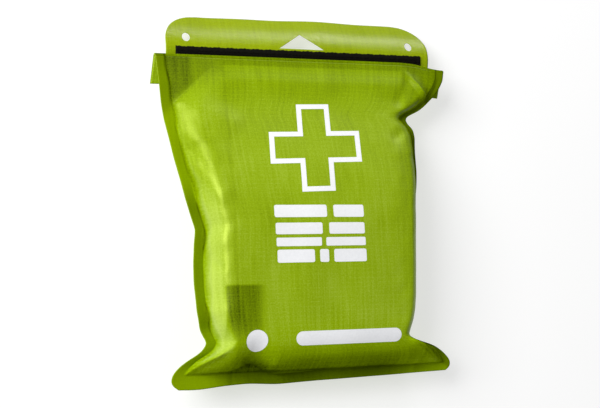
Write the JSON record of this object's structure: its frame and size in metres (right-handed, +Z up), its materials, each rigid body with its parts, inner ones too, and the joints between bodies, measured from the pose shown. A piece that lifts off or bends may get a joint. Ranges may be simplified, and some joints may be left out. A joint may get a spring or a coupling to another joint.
{
  "type": "first aid kit",
  "caption": "Flat weather-tight fabric pouch with a fold-over closure, packed with dressings, rolls, sachets, scissors and tweezers.",
  "frame": {"origin": "on the surface that the kit lies on, under the middle of its overall box", "axes": "+X across the kit to the right as its front is read, +Y from the bottom weld to the flap, +Z up, out of the front panel"},
  "size_m": [0.16, 0.1904, 0.0415],
  "materials": {
    "pouch_fabric": "coated ripstop nylon, lime green, satin",
    "flap_fabric": "the same coated ripstop, one layer, smooth and satin",
    "hook_tape": "black hook tape",
    "loop_tape": "black loop tape",
    "print": "white ink printed on the coating",
    "packet_paper": "sealed paper and film packet",
    "metallised_film": "metallised film, crinkled",
    "clear_film": "milky film packet",
    "gauze": "woven gauze",
    "adhesive_tape": "skin-toned woven tape",
    "spool_plastic": "white moulded plastic",
    "leaflet_paper": "coated paper, folded",
    "steel": "brushed stainless steel",
    "grip_plastic": "black moulded plastic"
  },
  "bodies": {
    "pouch": {"front_panel": "pouch_fabric", "back_panel": "pouch_fabric", "triangular_bandage_pack": "packet_paper", "rescue_blanket_pack": "metallised_film", "wound_dressing_pack_left": "packet_paper", "wound_dressing_pack_right": "packet_paper", "compress_pack_back": "packet_paper", "compress_pack_front": "packet_paper", "face_shield_pack": "clear_film", "plaster_sachet_back": "packet_paper", "plaster_sachet_middle": "packet_paper", "plaster_sachet_front": "packet_paper", "wipe_sachet_back": "metallised_film", "wipe_sachet_front": "metallised_film", "bandage_roll": "gauze", "adhesive_tape_roll": "adhesive_tape", "adhesive_tape_spool": "spool_plastic", "glove_pack": "clear_film", "first_aid_leaflet": "leaflet_paper", "scissors_fixed_blade": "steel", "scissors_rivet": "steel", "scissors_fixed_grip": "grip_plastic", "tweezers_left_arm": "steel", "tweezers_right_arm": "steel", "safety_pin_lower": "steel", "safety_pin_upper": "steel"},
    "neck": {"neck_back_layer": "pouch_fabric", "neck_front_layer": "pouch_fabric", "loop_tape": "loop_tape"},
    "flap": {"closure_flap": "flap_fabric", "hook_tape": "hook_tape"},
    "scissors_blade": {"scissors_moving_blade": "steel", "scissors_moving_grip": "grip_plastic"}
  },
  "joints": [
    {"name": "neck_fold", "type": "hinge", "parent": "pouch", "child": "neck", "pos_m": [0, 0.07484, 0.01985], "axis": [1, 0, 0], "range_deg": [0, 166]},
    {"name": "flap_fold", "type": "hinge", "parent": "neck", "child": "flap", "pos_m": [0, 0.05929, 0.01298], "axis": [1, 0, 0], "range_deg": [-166, 0]},
    {"name": "scissors_pivot", "type": "hinge", "parent": "pouch", "child": "scissors_blade", "pos_m": [0.004, -0.04716, 0.0308], "axis": [0, 0, 1], "range_deg": [0, 28]}
  ],
  "couplings": [
    {"joint": "flap_fold", "follows": "neck_fold", "ratio": -1}
  ]
}
